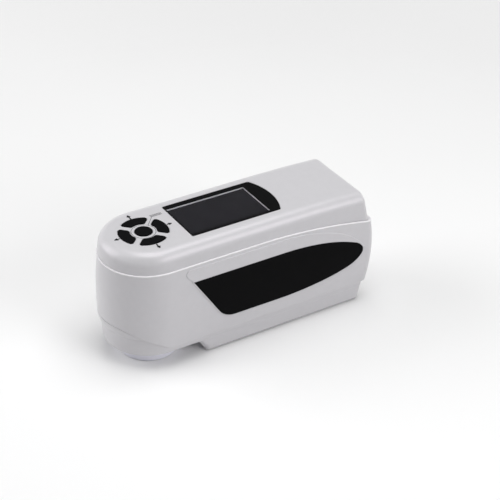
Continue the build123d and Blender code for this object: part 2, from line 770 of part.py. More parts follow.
def main_shell():
    shell = tub(0) - above_top_seam() - below_low_seam()
    shell = fillet(rim_of(facing(shell, (0, 0, 1))), radius=lip_round)
    shell = fillet(rim_of(facing(shell, (0, 0, -1))), radius=shell_foot_round)
    pads = tub(-grip_proud) & grip_prism()
    pad = near_half(pads)
    outer = [face for face in facing(pad, (0, -1, 0), 0.9) if face.center().Y < -nose_radius + case_wall]
    pad = fillet(rim_of(outer), radius=grip_edge_round)
    shell += both_sides(pad)
    shell -= tub(case_wall)
    rim = above_top_seam(-land_height) - above_top_seam()
    core = tub(case_wall / 2)
    shell += (core - cover_body(land_inset)) & rim
    thick = rear_block(io_bay_width + 2 * case_wall, io_bay_height + 2 * case_wall, bay_back_x, rear_x,
                       io_bay_corner)
    shell += thick & core
    bosses = []
    for x, y, z in cover_screw_places:
        side = 1 if y > 0 else -1
        tab = Pos(x, y + side * tab_length / 2, z + tab_thickness / 2)
        bosses.append(tab * Box(tab_width, 2 * tab_length, tab_thickness))
    for x, y in hump_screw_places:
        side = 1 if y > 0 else -1
        web = Pos(x, y + side * tab_length / 2, (boss_low_z + boss_high_z) / 2)
        bosses.append(web * Box(web_thickness, tab_length, boss_high_z - boss_low_z))
        bosses.append(rod(boss_radius, boss_low_z, boss_high_z, x, y))
    for x, y in nose_screw_places:
        angle = degrees(atan2(y, x - nose_x))
        web = Pos(x, y, (boss_low_z + boss_high_z) / 2) * Rot(0, 0, angle) * Pos(tab_length / 2, 0, 0)
        bosses.append(web * Box(tab_length, web_thickness, boss_high_z - boss_low_z))
        bosses.append(rod(boss_radius, boss_low_z, boss_high_z, x, y))
    for z in test_post_places:
        bosses.append(sideways(test_post_radius, test_post_y, nose_radius, test_key_x, z))
    bosses = Part() + bosses
    bosses &= core
    shell += bosses - (below_low_seam(-tongue_height - fit_gap) - tub(lip_low_x + tongue_wall + fit_gap))
    for y, z in io_post_places:
        shell += lying(post_radius, io_board_face_x, bay_back_x + lay_gap, y, z)
    for x, y, z in cover_screw_places:
        shell -= rod(case_screw_shank + fit_gap, z - lay_gap, z + tab_thickness + lay_gap, x, y)
    for x, y in hump_screw_places + nose_screw_places:
        shell -= rod(case_screw_shank, boss_low_z, boss_low_z + case_screw_hole, x, y)
    for z in test_post_places:
        shell -= sideways(screw_shank, test_post_y, test_post_y + case_wall, test_key_x, z)
    for y, z in io_post_places:
        shell -= lying(screw_shank, io_board_face_x, io_board_face_x + small_screw_length, y, z)
    shell -= rear_block(io_bay_width, io_bay_height, bay_floor_x, rear_x + case_wall, io_bay_corner)
    hole_y = switch_half_width + lay_gap
    hole_z = switch_half_height + lay_gap
    shell -= block((bay_back_x - fit_gap, rocker_y - hole_y, bay_z - hole_z),
                   (bay_floor_x, rocker_y + hole_y, bay_z + hole_z))
    shell -= lying(jack_radius + lay_gap, bay_back_x - fit_gap, bay_floor_x, jack_y, bay_z)
    shell -= block((bay_back_x - fit_gap, usb_y - usb_width / 2 - lay_gap, bay_z - usb_height / 2 - lay_gap),
                   (bay_floor_x, usb_y + usb_width / 2 + lay_gap, bay_z + usb_height / 2 + lay_gap))
    leaf = across(panel_face(panel_clearance)) - tub(panel_thickness + panel_sink - grip_proud)
    shell -= leaf
    shell -= oval(test_key_length + 2 * fit_gap, test_key_height + 2 * fit_gap, -reach, 0)
    return shell


def side_panel():
    """The near leaf panel, curved with the wall."""
    leaf = near_half(across(panel_face()) & tub(panel_sink - grip_proud))
    return leaf - tub(panel_thickness + panel_sink - grip_proud)


def far_panel():
    leaf = mirror(side_panel(), about=Plane.XZ)
    return leaf - oval(test_key_length + 2 * fit_gap, test_key_height + 2 * fit_gap, -reach, 0)


def window_face(inset):
    """Outline of the display window seen from above."""
    half = window_half - inset
    front = window_front_x + inset
    corner = window_corner_x - inset
    apex = window_apex_x - inset
    face = make_face([
        Line((corner, -half), (front, -half)),
        Line((front, -half), (front, half)),
        Line((front, half), (corner, half)),
        ThreePointArc((corner, half), (apex, 0), (corner, -half)),
    ])
    return fillet(face.vertices(), radius=window_round)


def glass_block(low, high):
    """A block with the outline of the display's glass, between two heights."""
    return block((glass_front_x, -glass_half, low), (glass_rear_x, glass_half, high))


def arc_key_face(angle, grow):
    """Outline of a ring-sector key on one side of the centre key."""
    inner = arc_key_inner - grow
    outer = arc_key_outer + grow
    cut = (arc_key_gap / 2 - grow) * sqrt(2)
    wedge = make_face(Polyline((cut, 0), (cut + outer, outer), (cut + outer, -outer), (cut, 0)).edges())
    ring = Circle(outer) - Circle(inner)
    face = fillet((ring & wedge).vertices(), radius=arc_key_round)
    return Pos(keypad_x, 0, 0) * Rot(0, 0, angle) * face


def centre_key_face(grow):
    return Pos(keypad_x, 0, 0) * Circle(centre_key_radius + grow)


def key_faces(grow):
    """Outlines of the five keys by name."""
    faces = {"centre_key": centre_key_face(grow)}
    for name, angle in arc_key_angles.items():
        faces[name] = arc_key_face(angle, grow)
    return faces


def top_cover():
    cover = cover_body(0) & above_top_seam()
    gap = above_top_seam() - above_top_seam(shadow_gap_height)
    cover -= gap - cover_body(shadow_gap_depth)
    hollow = cover_body(cover_wall)
    cover -= hollow
    tongue = (cover_body(land_inset + fit_gap) - cover_body(land_inset + fit_gap + tongue_wall))
    cover += tongue & (above_top_seam(-tongue_height) - above_top_seam(cover_wall))
    posts = [rod(boss_radius, z + tab_thickness, ceiling_z + lay_gap, x, y)
             for x, y, z in cover_screw_places]
    posts += [rod(post_radius, board_top_z, ceiling_z + lay_gap, x, y) for x, y, z in board_screw_places]
    cover += (Part() + posts) & cover_body(land_inset + fit_gap)
    for x, y, z in cover_screw_places:
        cover -= rod(case_screw_shank, z + tab_thickness, z + tab_thickness + cover_screw_hold, x, y)
    for x, y, z in board_screw_places:
        cover -= rod(screw_shank, board_top_z, ceiling_z + lay_gap, x, y)
    cover -= Pos(0, 0, window_seat_z) * extrude(window_face(-lay_gap), amount=cover_top_z - window_seat_z)
    cover -= glass_block(board_top_z, cover_top_z)
    for face in key_faces(fit_gap).values():
        cover -= Pos(0, 0, board_top_z) * extrude(face, amount=cover_top_z)
    return cover


def base_cover():
    outer = (base_body(0) & below_low_seam()) + hump_body(0)
    inner = (base_body(base_wall) & below_low_seam()) + hump_body(base_wall)
    base = outer - inner
    behind_tongue = tub(lip_low_x + tongue_wall)
    base += (base_body(base_wall / 2) - behind_tongue) & (below_low_seam() - below_low_seam(tongue_height))
    base += (tub(lip_low_x) - behind_tongue) & (below_low_seam(-tongue_height) - below_low_seam(lay_gap))
    ledge = RectangleRounded(door_length + 2 * door_margin, door_width + 2 * door_margin, door_corner)
    ledge = Pos(battery_x, 0, hump_bottom_z) * extrude(ledge, amount=door_ledge_z - hump_bottom_z)
    bay = Pos(battery_x, 0, (hump_bottom_z + bay_roof_z) / 2)
    walls = bay * Box(2 * (bay_half_x + bay_wall), 2 * (bay_half_y + bay_wall), bay_roof_z - hump_bottom_z)
    solids = [ledge, walls]
    hump_low = hump_bottom_z + base_wall / 2
    tray_low = base_floor_z + base_wall / 2
    solids += [rod(boss_radius, hump_low, boss_low_z, x, y) for x, y in hump_screw_places]
    solids += [rod(boss_radius, tray_low, boss_low_z, x, y) for x, y in nose_screw_places]
    solids += [rod(post_radius, tray_low, ear_low_z, x, y) for x, y in ear_places]
    solids += [rod(post_radius, hump_low, door_ledge_z + small_screw_length, x, y)
               for x, y in door_screw_places]
    base += (Part() + solids) & (base_body(base_wall / 2) + hump_body(base_wall / 2))
    base -= Pos(battery_x, 0, 0) * Box(2 * bay_half_x, 2 * bay_half_y, 2 * (bay_roof_z - bay_wall))
    base -= Pos(battery_x, 0, 0) * extrude(RectangleRounded(
        door_length + 2 * fit_gap, door_width + 2 * fit_gap, door_corner), amount=door_top_z)
    base -= rod(head_radius + lay_gap, 0, tray_floor_z + lay_gap, nose_x)
    for x, y in hump_screw_places:
        base -= rod(case_screw_shank + fit_gap, 0, reach, x, y)
        base -= rod(case_screw_head + fit_gap, 0, hump_head_z, x, y)
    for x, y in nose_screw_places:
        base -= rod(case_screw_shank + fit_gap, 0, reach, x, y)
        base -= rod(case_screw_head + fit_gap, 0, nose_head_z, x, y)
    for x, y in head_screw_places:
        base -= rod(screw_shank, tray_floor_z - head_screw_depth, tray_floor_z, x, y)
    for x, y in ear_places:
        base -= rod(screw_shank, ear_low_z - small_screw_length, ear_low_z, x, y)
    for x, y in door_screw_places:
        base -= rod(screw_shank, 0, door_ledge_z + small_screw_length - screw_shank, x, y)
    for x, y in rest_pad_places:
        base -= Pos(x, y, 0) * Box(pad_width + 2 * lay_gap, pad_length + 2 * lay_gap, 2 * pad_height)
    return base


# ---------------------------------------------------------------- display, board and keypad

def display_window():
    lens = Pos(0, 0, window_seat_z + gasket_thickness) * extrude(window_face(0), amount=window_thickness)
    return chamfer(rim_of(facing(lens, (0, 0, 1))), length=window_bevel)


def window_gasket():
    """Black adhesive frame between the window and its ledge."""
    frame = Pos(0, 0, window_seat_z) * extrude(window_face(0), amount=gasket_thickness)
    return frame - glass_block(window_seat_z, cover_top_z)


def display_module():
    """Display block with its glass step below the window."""
    step_z = ceiling_z - glass_step
    body = block((display_front_x, -display_half, board_top_z), (display_rear_x, display_half, step_z))
    return body + glass_block(step_z, ceiling_z)


def main_board():
    front_x = min(x for x, y, z in board_screw_places) - 2 * post_radius
    plate = Pos((front_x + board_rear_x) / 2, 0, board_low_z) * extrude(
        RectangleRounded(board_rear_x - front_x, 2 * board_half, post_radius / 2), amount=board_thickness)
    plate += rod(mat_radius + board_front_margin, board_low_z, board_top_z, keypad_x)
    for x, y, z in board_screw_places:
        plate -= rod(screw_shank + fit_gap, board_low_z, board_top_z, x, y)
    for back, y, width, length, height in board_parts:
        x = display_front_x + back
        plate += block((x - length / 2, y - width / 2, board_low_z - height),
                       (x + length / 2, y + width / 2, board_low_z))
    return plate


def key_mat():
    """Rubber sheet on the board with a dome under each key."""
    low = board_top_z + mat_thickness
    mat = rod(mat_radius, board_top_z, low, keypad_x)
    dome = Pos(0, 0, low) * Cone(dome_radius, dome_radius * dome_taper, dome_top_z - low,
                                 align=(Align.CENTER, Align.CENTER, Align.MIN))
    mat += Pos(keypad_x, 0, 0) * dome
    ring = (arc_key_inner + arc_key_outer) / 2
    for angle in arc_key_angles.values():
        mat += Pos(keypad_x, 0, 0) * Rot(0, 0, angle) * Pos(ring, 0, 0) * dome
    return mat


def key(name):
    """A key: flange under the cover, cap through its opening with a rounded edge."""
    low = key_flange_top_z - key_flange_height
    cap = Pos(0, 0, low) * extrude(key_faces(0)[name], amount=cover_top_z + key_proud - low)
    cap = fillet(rim_of(facing(cap, (0, 0, 1))), radius=key_edge_round)
    return cap + Pos(0, 0, low) * extrude(key_faces(key_flange)[name], amount=key_flange_height)


def test_key():
    """Oval key in the +Y grip panel, with a flange inside the wall."""
    face_y = bowed(nose_radius, side_bow, test_key_z) + grip_proud
    cap = oval(test_key_length, test_key_height, face_y - test_flange_low_y, face_y)
    cap = fillet(rim_of(facing(cap, (0, 1, 0))), radius=key_edge_round)
    flange = oval(test_key_length + 2 * test_flange, test_key_height + 2 * test_flange, test_flange_height,
                  test_flange_low_y + test_flange_height)
    return cap + flange


def test_switch_board():
    """Small upright board with the push switch behind the test key."""
    low_y = test_post_y - board_thickness
    half_z = test_post_pitch / 2 + test_board_end
    plate = block((test_key_x - test_board_half_x, low_y, test_key_z - half_z),
                  (test_key_x + test_board_half_x, test_post_y, test_key_z + half_z))
    for z in test_post_places:
        plate -= sideways(screw_shank + fit_gap, low_y, test_post_y, test_key_x, z)
    body_y = test_post_y + switch_height
    plate += block((test_key_x - switch_body, test_post_y, test_key_z - switch_body),
                   (test_key_x + switch_body, body_y, test_key_z + switch_body))
    return plate + sideways(screw_shank, body_y, body_y + fit_gap, test_key_x, test_key_z)


# ---------------------------------------------------------------- rear end

def power_switch_housing():
    """Frame of the power switch: flange on the bay floor, box behind it, pivot holes, blades."""
    face_x = switch_face_x
    wall_y = switch_half_width + switch_flange
    wall_z = switch_half_height + switch_flange
    box = block((face_x - switch_depth, rocker_y - switch_half_width, bay_z - switch_half_height),
                (face_x, rocker_y + switch_half_width, bay_z + switch_half_height))
    box += block((bay_floor_x, rocker_y - wall_y, bay_z - wall_z),
                 (face_x, rocker_y + wall_y, bay_z + wall_z))
    inner_y = switch_half_width - switch_wall
    inner_z = switch_half_height - switch_wall
    box -= block((face_x - switch_depth + switch_wall, rocker_y - inner_y, bay_z - inner_z),
                 (face_x + switch_wall, rocker_y + inner_y, bay_z + inner_z))
    box -= sideways(pin_radius + pin_clearance, rocker_y - switch_half_width, rocker_y + switch_half_width,
                    face_x - rocker_pivot_depth, bay_z)
    for z in (bay_z - inner_z / 2, bay_z + inner_z / 2):
        box += block((io_board_face_x, rocker_y - blade_half_width, z - blade_half_height),
                     (face_x - switch_depth, rocker_y + blade_half_width, z + blade_half_height))
    return box


def power_rocker():
    """Rocker with a shallow V face, at rest with its lower end pushed in."""
    face = rocker_pivot_depth - rocker_sink
    end = face + rocker_half_height * tan(radians(rocker_tilt))
    waist = rocker_half_height / 2
    outline = Polyline((face, 0), (end, rocker_half_height), (face / 2, rocker_half_height),
                       (-waist / 2, waist), (-waist / 2, -waist), (face / 2, -rocker_half_height),
                       (end, -rocker_half_height), (face, 0))
    body = extrude(Plane.XZ * make_face(outline.edges()), amount=rocker_width / 2, both=True)
    body += sideways(pin_radius, -rocker_width / 2 - pin_reach, rocker_width / 2 + pin_reach, 0, 0)
    return Pos(switch_face_x - rocker_pivot_depth, rocker_y, bay_z) * Rot(0, rocker_tilt, 0) * body


def dc_jack():
    body = block((io_board_face_x, jack_y - jack_radius, bay_z - jack_radius),
                 (bay_back_x - 2 * fit_gap, jack_y + jack_radius, bay_z + jack_radius))
    body += lying(jack_radius, bay_back_x - 2 * fit_gap, bay_floor_x + fit_gap, jack_y, bay_z)
    body -= lying(jack_bore, io_board_face_x + jack_floor, rear_x, jack_y, bay_z)
    return body + lying(jack_pin, io_board_face_x, bay_floor_x - jack_pin_sink, jack_y, bay_z)


def usb_socket():
    face_x = bay_floor_x + fit_gap
    outer = Plane.YZ * RectangleRounded(usb_width, usb_height, usb_wall * 2)
    inner = Plane.YZ * RectangleRounded(usb_width - 2 * usb_wall, usb_height - 2 * usb_wall, usb_wall)
    shell = Pos(io_board_face_x, usb_y, bay_z) * extrude(outer, amount=face_x - io_board_face_x)
    hollow = Pos(io_board_face_x + usb_wall, usb_y, bay_z) * extrude(inner, amount=reach)
    tongue = block((io_board_face_x, usb_y - usb_tongue_half, bay_z - usb_wall),
                   (face_x - usb_wall, usb_y + usb_tongue_half, bay_z + usb_wall))
    return shell - hollow + tongue


def io_board():
    height = 2 * (io_post_z + post_radius)
    plate = Pos(io_board_x, 0, bay_z) * extrude(
        Plane.YZ * RectangleRounded(2 * io_board_half, height, post_radius / 2), amount=board_thickness)
    for y, z in io_post_places:
        plate -= lying(screw_shank + fit_gap, io_board_x, io_board_face_x, y, z)
    return plate


# ---------------------------------------------------------------- measuring head and optics

def measuring_head():
    """Cup that carries the measuring port below the nose."""
    top = head_flange_top_z
    cup = rod(head_radius, head_bottom_z, top, nose_x)
    cup += rod(head_flange_radius, tray_floor_z, top, nose_x)
    edge = cup.edges().filter_by(GeomType.CIRCLE).group_by(Axis.Z)[0]
    cup = fillet(edge, radius=head_edge_round)
    cup -= rod(head_radius - head_wall, head_bottom_z + head_floor, top, nose_x)
    cup -= rod(port_radius, 0, top, nose_x)
    for x, y in head_screw_places:
        cup -= rod(screw_shank + fit_gap / 2, tray_floor_z, top, x, y)
    return cup


led_angles = [radians(led_start + number * 360 / led_count) for number in range(led_count)]
led_places = [(led_ring_radius * cos(angle), led_ring_radius * sin(angle)) for angle in led_angles]


def at_port(shape):
    """A shape drawn along an upright axis, set on the detector's tilted axis from the port."""
    return Pos(nose_x, 0, head_bottom_z) * Rot(0, detector_tilt, 0) * shape


def sphere_flange(low, high):
    flange = rod(sphere_flange_radius, low, high, nose_x)
    for x, y in ear_places:
        flange += rod(ear_radius, low, high, x, y)
        middle = ((x + nose_x) / 2, y / 2, (low + high) / 2)
        turn = degrees(atan2(y, x - nose_x))
        flange += Pos(*middle) * Rot(0, 0, turn) * Box(ear_ring_radius, 2 * ear_radius, high - low)
    for x, y in ear_places:
        flange -= rod(screw_shank + fit_gap / 2, low, high, x, y)
    return flange


def sphere_half(low, high):
    """Everything of the sphere's wall between two heights."""
    ball = Pos(nose_x, 0, sphere_z) * Sphere(sphere_outer)
    return ball & rod(reach, low, high, nose_x)


def sphere_lower_half():
    half = sphere_half(0, sphere_z) + sphere_flange(ear_low_z, sphere_z)
    half += rod(port_radius + head_wall, head_bottom_z + head_floor, sphere_z - sphere_inner, nose_x)
    half -= Pos(nose_x, 0, sphere_z) * Sphere(sphere_inner)
    return half - rod(port_radius, 0, sphere_z, nose_x)


def sphere_upper_half():
    collar = at_port(rod(collar_radius, collar_top - collar_height, collar_top))
    half = sphere_half(sphere_z, reach) + sphere_flange(sphere_z, sphere_z + sphere_flange_height) + collar
    half -= Pos(nose_x, 0, sphere_z) * Sphere(sphere_inner)
    half -= at_port(rod(lens_stop, sphere_z, collar_top))
    half -= at_port(rod(tube_outer, tube_foot, collar_top))
    for x, y in led_places:
        half -= at_port(rod(led_radius + lay_gap, sphere_z, collar_top, x, y))
    return half


def led_board():
    """Ring board on the collar, with its lamps pointing down into the sphere."""
    top = collar_top + board_thickness
    ring = rod(collar_radius, collar_top, top) - rod(tube_outer + fit_gap / 2, 0, top)
    for x, y in led_places:
        ring += rod(led_radius, collar_top - led_length, collar_top, x, y)
    return at_port(ring)


def detector_tube():
    tube = rod(tube_outer, tube_foot, tube_top)
    tube += rod(tube_flange_radius, tube_top - tube_flange_height, tube_top)
    tube -= rod(lens_stop, tube_foot, tube_top)
    tube -= rod(tube_inner, tube_foot + lens_place, tube_top)
    for x, y in sensor_screw_places:
        tube -= rod(sensor_screw_shank, tube_top - tube_flange_height, tube_top, x, y)
    return at_port(tube)


def detector_lens():
    """Plano-convex lens on the shoulder of the tube."""
    low = tube_foot + lens_place
    glass = rod(tube_inner, low, low + lens_thickness)
    edge = glass.edges().filter_by(GeomType.CIRCLE).group_by(Axis.Z)[-1]
    return at_port(chamfer(edge, length=lens_thickness / 3, length2=lens_thickness))


def sensor_board():
    plate = Pos(0, 0, tube_top) * extrude(
        RectangleRounded(2 * sensor_half, 2 * sensor_half, sensor_corner), amount=board_thickness)
    plate += rod(lens_stop, tube_top - board_thickness, tube_top)
    for x, y in sensor_screw_places:
        plate -= rod(sensor_screw_shank + lay_gap, tube_top, tube_top + board_thickness, x, y)
    return at_port(plate)


def sensor_screws():
    one = Rot(180, 0, 0) * screw(sensor_screw_shank, screw_shank, screw_shank, board_thickness * 2)
    return at_port(placed(one, [(x, y, tube_top + board_thickness) for x, y in sensor_screw_places]))


def calibration_cap():
    """Cup that slides over the measuring head, with a rounded foot."""
    height = base_floor_z - fit_gap
    cup = rod(cap_radius, 0, height, nose_x)
    cup = fillet(rim_of(facing(cup, (0, 0, -1))), radius=cap_edge_round)
    cup = fillet(rim_of(facing(cup, (0, 0, 1))), radius=lip_round)
    return cup - rod(head_radius + fit_gap, cap_floor, height, nose_x)


def white_tile():
    return rod(tile_radius, cap_floor, cap_floor + tile_thickness, nose_x)


# ---------------------------------------------------------------- battery

def battery_cells():
    cell = lying(cell_radius, 0, cell_length - cell_button, 0, 0)
    cell = fillet(cell.edges().filter_by(GeomType.CIRCLE), radius=cell_button)
    cell += lying(cell_radius / 3, cell_length - 2 * cell_button, cell_length, 0, 0)
    front_x = battery_x - cell_length / 2
    return Compound(children=[
        Pos(front_x, -cell_y, cell_z) * cell,
        Pos(front_x + cell_length, cell_y, cell_z) * Rot(0, 0, 180) * cell,
    ])


def battery_foam():
    return Pos(battery_x, 0, door_top_z) * extrude(RectangleRounded(
        2 * bay_half_x - foam_margin, 2 * bay_half_y - foam_margin, foam_corner), amount=foam_thickness)


def battery_door():
    """Door plate in the hump's floor, held by two countersunk screws."""
    plate = Pos(battery_x, 0, hump_bottom_z) * extrude(
        RectangleRounded(door_length, door_width, door_corner), amount=door_thickness)
    plate = chamfer(rim_of(facing(plate, (0, 0, -1))), length=fit_gap)
    for number in range(groove_count):
        x = battery_x - door_length / 4 + (number - groove_count / 2) * groove_pitch
        plate -= Pos(x, 0, hump_bottom_z) * Box(groove_width, door_width / 2, 2 * groove_depth)
    for x, y in door_screw_places:
        plate -= rod(screw_shank + fit_gap / 2, 0, door_top_z, x, y)
        plate -= rod(screw_head + fit_gap / 2, 0, hump_bottom_z + screw_head_height, x, y)
    return plate


def rest_pads():
    pad = Pos(0, 0, pad_height / 2) * Box(pad_width, pad_length, pad_height)
    pad = fillet(pad.edges().filter_by(Axis.Z), radius=pad_corner)
    pad = chamfer(rim_of(facing(pad, (0, 0, -1))), length=pad_bevel)
    return placed(pad, [(x, y, 0) for x, y in rest_pad_places])


def io_ribbon():
    """Flat cable from the main board's underside to the socket board."""
    z_top = board_low_z - ribbon_thickness / 2
    z_low = bay_z + io_post_z - post_radius
    x_front = board_rear_x - post_radius * 3
    x_rear = io_board_x - ribbon_thickness / 2
    run = Polyline((x_front, z_top), (x_front, z_top - ribbon_drop), (x_rear - ribbon_drop, z_low),
                   (x_rear, z_low))
    run = fillet(run.vertices()[1:3], radius=ribbon_drop / 2)
    strip = offset(run, amount=ribbon_thickness / 2)
    return across(Plane.XZ * make_face(strip.edges()), ribbon_half)


# ---------------------------------------------------------------- every piece

os.makedirs("parts", exist_ok=True)
save("main_shell", main_shell())
save("top_cover", top_cover())
save("base_cover", base_cover())
save("near_side_panel", side_panel())
save("far_side_panel", far_panel())
save("top_cover_screws", placed(case_screw(tab_thickness + cover_screw_hold - 2 * fit_gap),
                                cover_screw_places))
save("base_screws", placed(case_screw(boss_low_z - hump_head_z + case_screw_thread),
                           [(x, y, hump_head_z) for x, y in hump_screw_places]))
save("nose_screws", placed(case_screw(boss_low_z - nose_head_z + case_screw_thread),
                           [(x, y, nose_head_z) for x, y in nose_screw_places]))
save("display_window", display_window())
save("window_gasket", window_gasket())
save("display_module", display_module())
save("main_board", main_board())
save("board_screws", placed(small_screw(board_thickness + display_thickness - fit_gap), board_screw_places))
save("key_mat", key_mat())
for key_name in key_faces(0):
    save(key_name, key(key_name))
save("test_key", test_key())
save("test_switch_board", test_switch_board())
save("test_board_screws", Compound(children=[
    Pos(test_key_x, test_post_y - board_thickness, z) * Rot(-90, 0, 0)
    * small_screw(board_thickness + case_wall - fit_gap) for z in test_post_places]))
save("power_switch_housing", power_switch_housing())
save("power_rocker", power_rocker())
save("dc_jack", dc_jack())
save("usb_socket", usb_socket())
save("io_board", io_board())
save("io_screws", Compound(children=[
    Pos(io_board_x, y, z) * Rot(0, 90, 0) * small_screw(board_thickness + small_screw_length - fit_gap)
    for y, z in io_post_places]))
save("measuring_head", measuring_head())
save("head_screws", placed(Rot(180, 0, 0) * small_screw(head_flange_height + base_wall / 2),
                           [(x, y, head_flange_top_z) for x, y in head_screw_places]))
save("sphere_lower_half", sphere_lower_half())
save("sphere_upper_half", sphere_upper_half())
sphere_screw = small_screw(2 * sphere_flange_height + small_screw_length - fit_gap)
save("sphere_screws", placed(Rot(180, 0, 0) * sphere_screw,
                             [(x, y, sphere_z + sphere_flange_height) for x, y in ear_places]))
save("led_board", led_board())
save("detector_tube", detector_tube())
save("detector_lens", detector_lens())
save("sensor_board", sensor_board())
save("sensor_screws", sensor_screws())
save("calibration_cap", calibration_cap())
save("white_tile", white_tile())
save("battery_cells", battery_cells())
save("battery_foam", battery_foam())
save("battery_door", battery_door())
save("door_screws", placed(small_screw(door_thickness + small_screw_length - screw_shank - fit_gap),
                           [(x, y, hump_bottom_z + screw_head_height) for x, y in door_screw_places]))
save("rest_pads", rest_pads())
save("io_ribbon", io_ribbon())
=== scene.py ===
from math import cos, pi, radians, sin

import bmesh
import bpy
from mathutils import Matrix, Vector
from mathutils.bvhtree import BVHTree


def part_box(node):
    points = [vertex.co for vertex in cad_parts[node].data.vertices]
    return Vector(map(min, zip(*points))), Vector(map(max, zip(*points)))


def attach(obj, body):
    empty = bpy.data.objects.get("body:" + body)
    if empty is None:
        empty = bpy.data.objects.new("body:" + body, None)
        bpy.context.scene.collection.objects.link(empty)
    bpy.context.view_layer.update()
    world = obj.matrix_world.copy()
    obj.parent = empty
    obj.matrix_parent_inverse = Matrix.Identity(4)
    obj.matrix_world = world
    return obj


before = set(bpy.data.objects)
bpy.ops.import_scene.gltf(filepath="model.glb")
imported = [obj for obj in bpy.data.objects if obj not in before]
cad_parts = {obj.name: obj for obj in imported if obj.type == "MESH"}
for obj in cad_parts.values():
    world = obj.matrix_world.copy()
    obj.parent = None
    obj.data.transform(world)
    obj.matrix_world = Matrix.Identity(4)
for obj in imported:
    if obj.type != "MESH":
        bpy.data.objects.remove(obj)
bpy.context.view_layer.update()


# ---------------------------------------------------------------- main shell
# The ring-shaped middle of the case, moulded in light grey plastic with a pearl lacquer.
# Both covers are screwed to it, and the grip pads on its sides are part of the moulding.

def srgb(level):
    """A screen value from 0 to 255 as linear light."""
    part = level / 255
    return part / 12.92 if part <= 0.04045 else ((part + 0.055) / 1.055) ** 2.4


def tone(red, green, blue):
    """A colour from screen values."""
    return (srgb(red), srgb(green), srgb(blue), 1.0)


def new_finish(name):
    """An empty material with its nodes, its shader and its object coordinates."""
    material = bpy.data.materials.new(name)
    material.use_nodes = True
    nodes = material.node_tree.nodes
    shader = nodes["Principled BSDF"]
    place = nodes.new("ShaderNodeTexCoord").outputs["Object"]
    return material, nodes, material.node_tree.links, shader, place


def cloud(nodes, links, place, scale, detail=2.0):
    """Soft noise of a given count per metre, from 0 to 1."""
    noise = nodes.new("ShaderNodeTexNoise")
    noise.inputs["Scale"].default_value = scale
    noise.inputs["Detail"].default_value = detail
    links.new(place, noise.inputs["Vector"])
    return noise.outputs["Fac"]


def ramp(nodes, links, value, start, end, low=0.0, high=1.0):
    """A value that runs from low at the start to high at the end."""
    spread = nodes.new("ShaderNodeMapRange")
    for socket, level in (("From Min", start), ("From Max", end), ("To Min", low), ("To Max", high)):
        spread.inputs[socket].default_value = level
    links.new(value, spread.inputs["Value"])
    return spread.outputs["Result"]


def between(nodes, links, factor, low, high):
    """A value that follows soft noise, which mostly lies between 0.3 and 0.7."""
    return ramp(nodes, links, factor, 0.3, 0.7, low, high)


def blend_tones(nodes, links, factor, one, other):
    """A colour between two tones, or two colour sockets, by a factor."""
    mix = nodes.new("ShaderNodeMix")
    mix.data_type = "RGBA"
    links.new(factor, mix.inputs["Factor"])
    for socket, value in ((mix.inputs[6], one), (mix.inputs[7], other)):
        if isinstance(value, bpy.types.NodeSocket):
            links.new(value, socket)
        else:
            socket.default_value = value
    return mix.outputs[2]


def roughen(nodes, links, shader, height, depth):
    """Bump the surface by a height factor, to a depth in metres."""
    bump = nodes.new("ShaderNodeBump")
    bump.inputs["Strength"].default_value = 1.0
    bump.inputs["Distance"].default_value = depth
    links.new(height, bump.inputs["Height"])
    links.new(bump.outputs["Normal"], shader.inputs["Normal"])


def plain_finish(name, colour, roughness, spread=0.04, grain=1500.0, depth=0.000004, metal=0.0, shine=0.5):
    """Moulded, painted or turned surface: a faint mottle, uneven gloss and a fine grain."""
    material, nodes, links, shader, place = new_finish(name)
    mottle = between(nodes, links, cloud(nodes, links, place, grain / 12, 3.0), 0, 1)
    dark = tuple(c * (1 - spread) for c in colour[:3]) + (1.0,)
    light = tuple(min(1.0, c * (1 + spread)) for c in colour[:3]) + (1.0,)
    links.new(blend_tones(nodes, links, mottle, dark, light), shader.inputs["Base Color"])
    fine = cloud(nodes, links, place, grain)
    links.new(between(nodes, links, fine, roughness * 0.88, roughness * 1.12), shader.inputs["Roughness"])
    roughen(nodes, links, shader, fine, depth)
    shader.inputs["Metallic"].default_value = metal
    shader.inputs["Specular IOR Level"].default_value = shine
    return material


def dress(material, *names):
    """Give CAD nodes a finish."""
    for name in names:
        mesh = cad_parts[name].data
        mesh.materials.clear()
        mesh.materials.append(material)


def add_pearl(material, coat, coat_roughness, tint):
    """A clear coat with a tinted gleam over a finish."""
    shader = material.node_tree.nodes["Principled BSDF"]
    shader.inputs["Coat Weight"].default_value = coat
    shader.inputs["Coat Roughness"].default_value = coat_roughness
    shader.inputs["Specular Tint"].default_value = tint


pearl_lacquer = plain_finish("pearl_lacquer", tone(209, 208, 211), 0.34, 0.012, 2600.0, 0.0000025)
add_pearl(pearl_lacquer, 0.5, 0.3, (1.0, 0.88, 1.0, 1.0))
dress(pearl_lacquer, "main_shell")


# ---------------------------------------------------------------- shell rim
# The rolled upper edge of the shell, a fine bead beside the foot of the top cover.
# It is moulded with the shell. Its lacquer is the shell's own, painted far lighter as a painted highlight that
# gives the bright line along the seam.

MM = 0.001
RIM_RADIUS = 0.6 * MM
RIM_SIDES = 10
RIM_INSET = 0.3 * MM        # the bead's middle inside the edge of the ledge
RIM_SINK = 0.05 * MM
RIM_STEP = 0.05 * MM
LEDGE_GAP = 0.2 * MM        # the search for the edge starts this far beside the cover
CORNER_ROUND = 4 * MM       # the bead turns the rear corners about this far inside them
NOSE_STEPS = 48
SIDE_STEPS = 40
CORNER_STEPS = 8
ABOVE_ALL = 200 * MM


def surface_of(name):
    """A search tree over a CAD node's mesh, to set points on its surface."""
    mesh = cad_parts[name].data
    return BVHTree.FromPolygons([v.co for v in mesh.vertices], [p.vertices for p in mesh.polygons])


